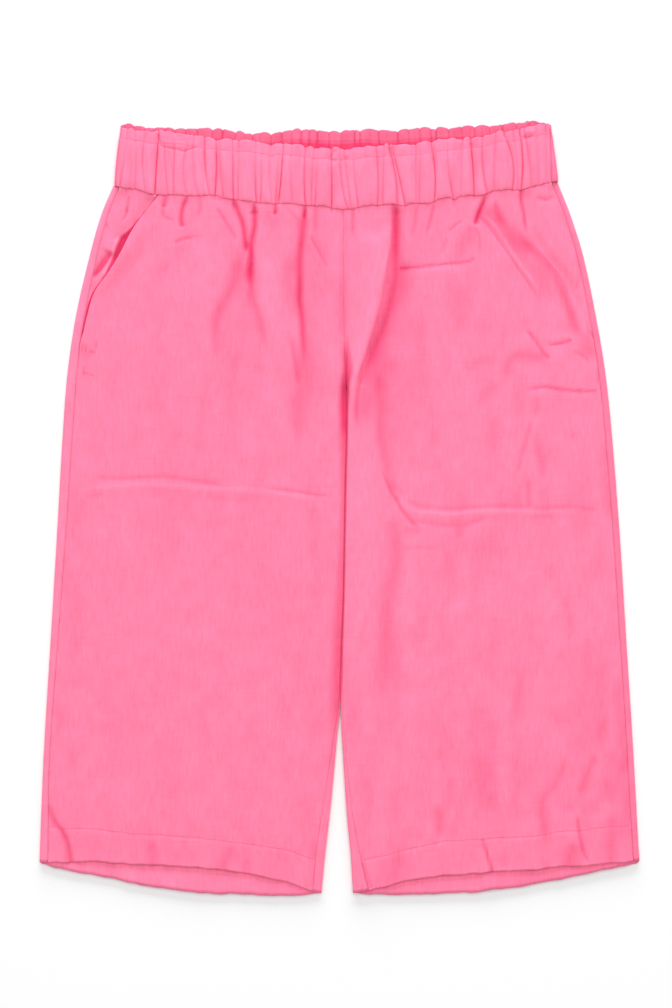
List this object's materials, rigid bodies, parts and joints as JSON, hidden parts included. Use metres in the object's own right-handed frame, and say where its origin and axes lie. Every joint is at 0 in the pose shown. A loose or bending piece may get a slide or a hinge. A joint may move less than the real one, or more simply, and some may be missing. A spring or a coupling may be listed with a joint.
{
  "type": "culottes",
  "caption": "Wide cropped linen trousers laid flat, with a gathered elastic waistband, slanted side pockets and turned hems.",
  "frame": {"origin": "on the surface that the garment lies on, under the middle of its outline's box", "axes": "+X across the garment to the right as seen from above, +Y up the garment towards its waist, +Z out of its front"},
  "size_m": [0.5719, 0.7389, 0.0126],
  "materials": {
    "linen": "matte woven linen, bright pink"
  },
  "bodies": {
    "root": {"waistband": "linen", "front_leg_left": "linen", "front_leg_right": "linen", "back_leg_left": "linen", "back_leg_right": "linen", "pocket_facing_left": "linen", "pocket_facing_right": "linen"}
  },
  "joints": []
}
